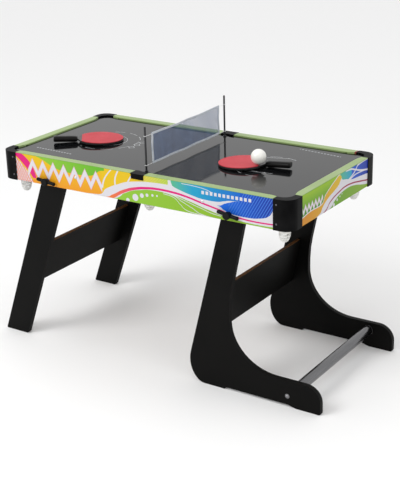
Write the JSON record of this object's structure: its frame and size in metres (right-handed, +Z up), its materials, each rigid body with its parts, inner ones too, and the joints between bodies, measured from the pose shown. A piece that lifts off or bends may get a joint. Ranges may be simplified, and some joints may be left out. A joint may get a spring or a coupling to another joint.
{
  "type": "folding games table",
  "caption": "Folding pool table on board legs, one pair L-shaped with a tube between its feet, covered by a lift-out glossy table-tennis board with net, paddles and a ball.",
  "frame": {"origin": "on the floor, under the middle of the whole object's bounding box", "axes": "+X along the table towards the L-shaped legs' toes, -Y towards the front apron, +Z up"},
  "size_m": [1.392, 0.6606, 0.8945],
  "materials": {
    "print": "printed vinyl film over particle board, satin, bright sports graphics",
    "bed": "raw fibreboard, matte",
    "cloth": "green napped cloth, matte",
    "rail": "lime green moulded rail, satin",
    "plastic": "black moulded plastic, satin",
    "bag": "white open mesh",
    "leg": "black laminated board, satin",
    "steel": "zinc plated",
    "tube": "dark chrome plated tube",
    "board": "high gloss black lacquered board with white line marks",
    "post": "black painted steel rod",
    "tennis_net": "blue open mesh with pale tapes",
    "plywood": "thin plywood with a dark edge tape",
    "red_rubber": "smooth red sheet rubber, satin",
    "black_rubber": "smooth black sheet rubber, satin",
    "grip": "black lacquered handle, satin",
    "ball": "white resin, polished"
  },
  "bodies": {
    "table_box": {"apron_front": "print", "apron_back": "print", "apron_left": "print", "apron_right": "print", "bed_panel": "bed", "bed_beam_left": "bed", "bed_beam_right": "bed", "bed_cloth": "cloth", "rail_left": "rail", "rail_right": "rail", "rail_front_left": "rail", "rail_front_right": "rail", "rail_back_left": "rail", "rail_back_right": "rail", "corner_cap_front_left": "plastic", "corner_cap_front_right": "plastic", "corner_cap_back_left": "plastic", "corner_cap_back_right": "plastic", "pocket_casting_front": "plastic", "pocket_casting_back": "plastic", "ball_net_front_left": "bag", "ball_net_front_middle": "bag", "ball_net_front_right": "bag", "ball_net_back_left": "bag", "ball_net_back_middle": "bag", "ball_net_back_right": "bag", "apron_screw_front_left": "steel", "apron_screw_front_right": "steel", "apron_screw_back_left": "steel", "apron_screw_back_right": "steel"},
    "straight_leg_pair": {"straight_leg_front": "leg", "straight_leg_back": "leg", "cross_panel_left": "leg", "leg_nut_front_left": "steel", "leg_nut_back_left": "steel"},
    "l_leg_pair": {"l_leg_front": "leg", "l_leg_back": "leg", "cross_panel_right": "leg", "leg_nut_front_right": "steel", "leg_nut_back_right": "steel", "foot_tube": "tube", "foot_bolt_front": "steel", "foot_bolt_back": "steel"},
    "knob_front_left": {"t_knob_front_left": "plastic"},
    "knob_front_right": {"t_knob_front_right": "plastic"},
    "knob_back_left": {"t_knob_back_left": "plastic"},
    "knob_back_right": {"t_knob_back_right": "plastic"},
    "board": {"top_board": "board"},
    "net_set": {"net_post_front": "post", "net_post_back": "post", "tennis_net": "tennis_net"},
    "paddle_left": {"paddle_left_blade": "plywood", "paddle_left_red_rubber": "red_rubber", "paddle_left_black_rubber": "black_rubber", "paddle_left_handle": "grip"},
    "paddle_right": {"paddle_right_blade": "plywood", "paddle_right_red_rubber": "red_rubber", "paddle_right_black_rubber": "black_rubber", "paddle_right_handle": "grip"},
    "ball": {"white_ball": "ball"}
  },
  "joints": [
    {"name": "straight_legs_fold", "type": "hinge", "parent": "table_box", "child": "straight_leg_pair", "pos_m": [-0.414, 0, 0.6535], "axis": [0, -1, 0], "range_deg": [0, 110], "deforming": ["ball_net_front_middle", "ball_net_back_middle"]},
    {"name": "l_legs_fold", "type": "hinge", "parent": "table_box", "child": "l_leg_pair", "pos_m": [0.3615, 0, 0.6595], "axis": [0, -1, 0], "range_deg": [0, 82]},
    {"name": "knob_turn_front_left", "type": "hinge", "parent": "table_box", "child": "knob_front_left", "pos_m": [-0.414, -0.3053, 0.6535], "axis": [0, -1, 0], "continuous": true},
    {"name": "knob_turn_front_right", "type": "hinge", "parent": "table_box", "child": "knob_front_right", "pos_m": [0.3615, -0.3053, 0.6595], "axis": [0, -1, 0], "continuous": true},
    {"name": "knob_turn_back_left", "type": "hinge", "parent": "table_box", "child": "knob_back_left", "pos_m": [-0.414, 0.3053, 0.6535], "axis": [0, 1, 0], "continuous": true},
    {"name": "knob_turn_back_right", "type": "hinge", "parent": "table_box", "child": "knob_back_right", "pos_m": [0.3615, 0.3053, 0.6595], "axis": [0, 1, 0], "continuous": true},
    {"name": "board_lift", "type": "slide", "parent": "table_box", "child": "board", "axis": [0, 0, 1], "range_m": [0, 0.15]},
    {"name": "net_lift", "type": "slide", "parent": "board", "child": "net_set", "axis": [0, 0, 1], "range_m": [0, 0.05]},
    {"name": "paddle_left_lift", "type": "slide", "parent": "board", "child": "paddle_left", "axis": [0, 0, 1], "range_m": [0, 0.1]},
    {"name": "paddle_right_lift", "type": "slide", "parent": "board", "child": "paddle_right", "axis": [0, 0, 1], "range_m": [0, 0.1]},
    {"name": "ball_lift", "type": "slide", "parent": "paddle_right", "child": "ball", "axis": [0, 0, 1], "range_m": [0, 0.1]}
  ]
}
